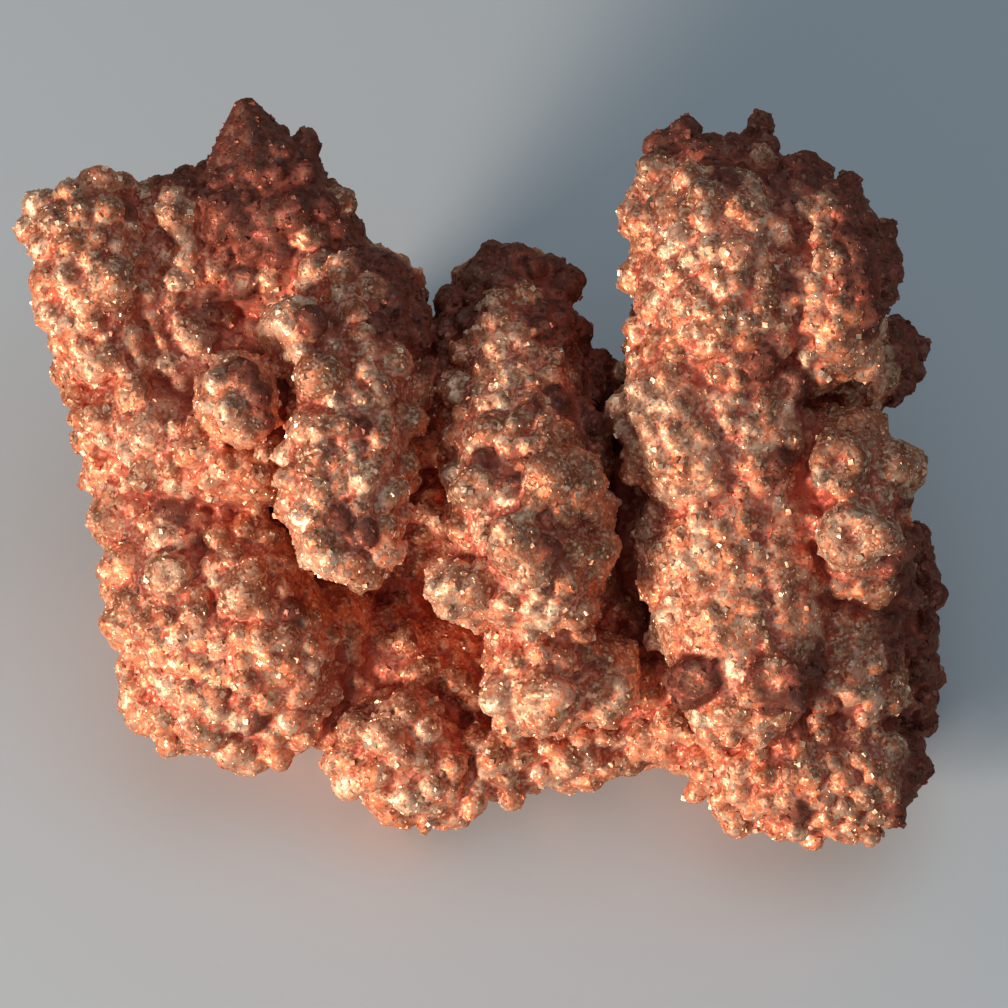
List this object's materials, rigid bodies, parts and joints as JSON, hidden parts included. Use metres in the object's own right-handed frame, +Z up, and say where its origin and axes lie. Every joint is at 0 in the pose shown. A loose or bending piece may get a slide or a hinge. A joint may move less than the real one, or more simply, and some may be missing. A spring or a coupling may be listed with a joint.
{
  "type": "native copper nugget",
  "caption": "Native copper nugget: thick upright fingers of bare copper grown from one root and crusted all over with rounded buds; it stands unheld on small worn flats.",
  "frame": {"origin": "middle of the footprint box, on the surface that the nugget stands on", "axes": "+Z up; +X along the nugget's width, from the broad budded head to the tall crown; the broad face looks towards -Y and up, 60 degrees above the horizon"},
  "size_m": [0.0397, 0.0294, 0.0229],
  "materials": {
    "native_copper": "bare native copper, satin and sugary, tarnished olive brown on the outer buds and orange red in the recesses"
  },
  "bodies": {
    "root": {"copper_nugget": "native_copper"}
  },
  "joints": []
}
